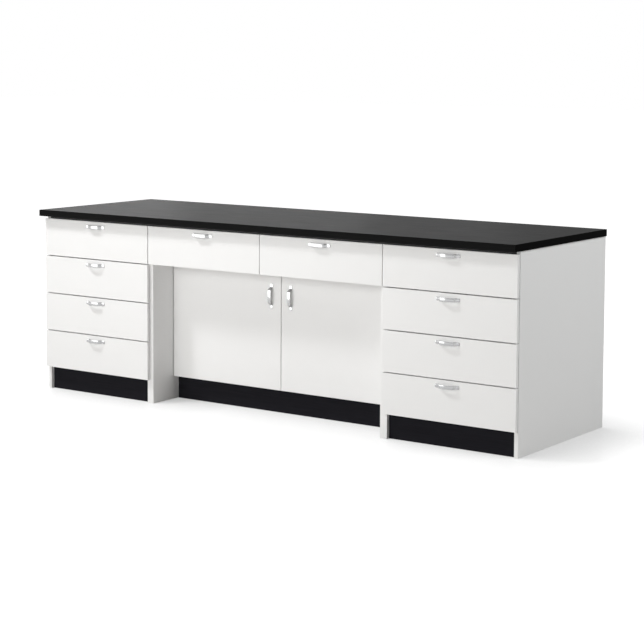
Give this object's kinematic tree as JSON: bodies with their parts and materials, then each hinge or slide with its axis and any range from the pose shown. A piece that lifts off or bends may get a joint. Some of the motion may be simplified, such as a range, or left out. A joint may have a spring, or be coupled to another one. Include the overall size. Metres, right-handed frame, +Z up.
{
  "type": "laboratory bench",
  "caption": "Long low laboratory bench: black worktop on white drawer pedestals, with a recessed two-door cupboard under a pair of shallow drawers between them.",
  "frame": {"origin": "on the floor, below the centre of the worktop", "axes": "+X along the bench to the right as seen from the front, +Y from the front to the back, +Z up"},
  "size_m": [2.41, 0.76, 0.81],
  "materials": {
    "black_laminate": "board faced with satin black high-pressure laminate, fine grain",
    "black_board": "black melamine board",
    "white_melamine": "white melamine board, satin, edges banded in white",
    "drawer_board": "white melamine drawer box, with its white coated runner members",
    "white_hardboard": "white faced back panel, matt",
    "white_coated_steel": "white epoxy coated runner members",
    "nickel_plated_steel": "nickel plated hinge parts, pins and bolts",
    "satin_chrome": "satin chrome bow handles"
  },
  "bodies": {
    "carcass": {"worktop": "black_laminate", "end_panel_left": "white_melamine", "end_panel_right": "white_melamine", "inner_panel_left": "white_melamine", "inner_panel_right": "white_melamine", "centre_panel_left": "white_melamine", "centre_panel_right": "white_melamine", "drawer_divider": "white_melamine", "pedestal_floor_left": "white_melamine", "pedestal_floor_right": "white_melamine", "plinth_left": "black_board", "plinth_centre": "black_board", "plinth_right": "black_board", "cupboard_floor": "white_melamine", "cupboard_top": "white_melamine", "cupboard_shelf": "white_melamine", "back_panel_left": "white_hardboard", "back_panel_centre": "white_hardboard", "back_panel_right": "white_hardboard", "top_rails": "white_melamine", "cabinet_runners": "white_coated_steel", "hinge_arms": "nickel_plated_steel", "shelf_pins": "nickel_plated_steel", "unit_bolts": "nickel_plated_steel"},
    "drawer_left_4": {"drawer_left_4_front": "white_melamine", "drawer_left_4_box": "drawer_board", "drawer_left_4_handle": "satin_chrome"},
    "drawer_left_3": {"drawer_left_3_front": "white_melamine", "drawer_left_3_box": "drawer_board", "drawer_left_3_handle": "satin_chrome"},
    "drawer_left_2": {"drawer_left_2_front": "white_melamine", "drawer_left_2_box": "drawer_board", "drawer_left_2_handle": "satin_chrome"},
    "drawer_left_1": {"drawer_left_1_front": "white_melamine", "drawer_left_1_box": "drawer_board", "drawer_left_1_handle": "satin_chrome"},
    "drawer_right_4": {"drawer_right_4_front": "white_melamine", "drawer_right_4_box": "drawer_board", "drawer_right_4_handle": "satin_chrome"},
    "drawer_right_3": {"drawer_right_3_front": "white_melamine", "drawer_right_3_box": "drawer_board", "drawer_right_3_handle": "satin_chrome"},
    "drawer_right_2": {"drawer_right_2_front": "white_melamine", "drawer_right_2_box": "drawer_board", "drawer_right_2_handle": "satin_chrome"},
    "drawer_right_1": {"drawer_right_1_front": "white_melamine", "drawer_right_1_box": "drawer_board", "drawer_right_1_handle": "satin_chrome"},
    "drawer_centre_left": {"drawer_centre_left_front": "white_melamine", "drawer_centre_left_box": "drawer_board", "drawer_centre_left_handle": "satin_chrome"},
    "drawer_centre_right": {"drawer_centre_right_front": "white_melamine", "drawer_centre_right_box": "drawer_board", "drawer_centre_right_handle": "satin_chrome"},
    "door_left": {"door_left_panel": "white_melamine", "door_left_handle": "satin_chrome", "door_left_hinges": "nickel_plated_steel"},
    "door_right": {"door_right_panel": "white_melamine", "door_right_handle": "satin_chrome", "door_right_hinges": "nickel_plated_steel"}
  },
  "joints": [
    {"name": "drawer_left_4_slide", "type": "slide", "parent": "carcass", "child": "drawer_left_4", "axis": [0, -1, 0], "range_m": [0, 0.45]},
    {"name": "drawer_left_3_slide", "type": "slide", "parent": "carcass", "child": "drawer_left_3", "axis": [0, -1, 0], "range_m": [0, 0.45]},
    {"name": "drawer_left_2_slide", "type": "slide", "parent": "carcass", "child": "drawer_left_2", "axis": [0, -1, 0], "range_m": [0, 0.45]},
    {"name": "drawer_left_1_slide", "type": "slide", "parent": "carcass", "child": "drawer_left_1", "axis": [0, -1, 0], "range_m": [0, 0.45]},
    {"name": "drawer_right_4_slide", "type": "slide", "parent": "carcass", "child": "drawer_right_4", "axis": [0, -1, 0], "range_m": [0, 0.45]},
    {"name": "drawer_right_3_slide", "type": "slide", "parent": "carcass", "child": "drawer_right_3", "axis": [0, -1, 0], "range_m": [0, 0.45]},
    {"name": "drawer_right_2_slide", "type": "slide", "parent": "carcass", "child": "drawer_right_2", "axis": [0, -1, 0], "range_m": [0, 0.45]},
    {"name": "drawer_right_1_slide", "type": "slide", "parent": "carcass", "child": "drawer_right_1", "axis": [0, -1, 0], "range_m": [0, 0.45]},
    {"name": "drawer_centre_left_slide", "type": "slide", "parent": "carcass", "child": "drawer_centre_left", "axis": [0, -1, 0], "range_m": [0, 0.45]},
    {"name": "drawer_centre_right_slide", "type": "slide", "parent": "carcass", "child": "drawer_centre_right", "axis": [0, -1, 0], "range_m": [0, 0.45]},
    {"name": "door_left_hinge", "type": "hinge", "parent": "carcass", "child": "door_left", "pos_m": [-0.561, -0.188, 0.3517], "axis": [0, 0, -1], "range_deg": [0, 90]},
    {"name": "door_right_hinge", "type": "hinge", "parent": "carcass", "child": "door_right", "pos_m": [0.561, -0.188, 0.3517], "axis": [0, 0, 1], "range_deg": [0, 90]}
  ]
}
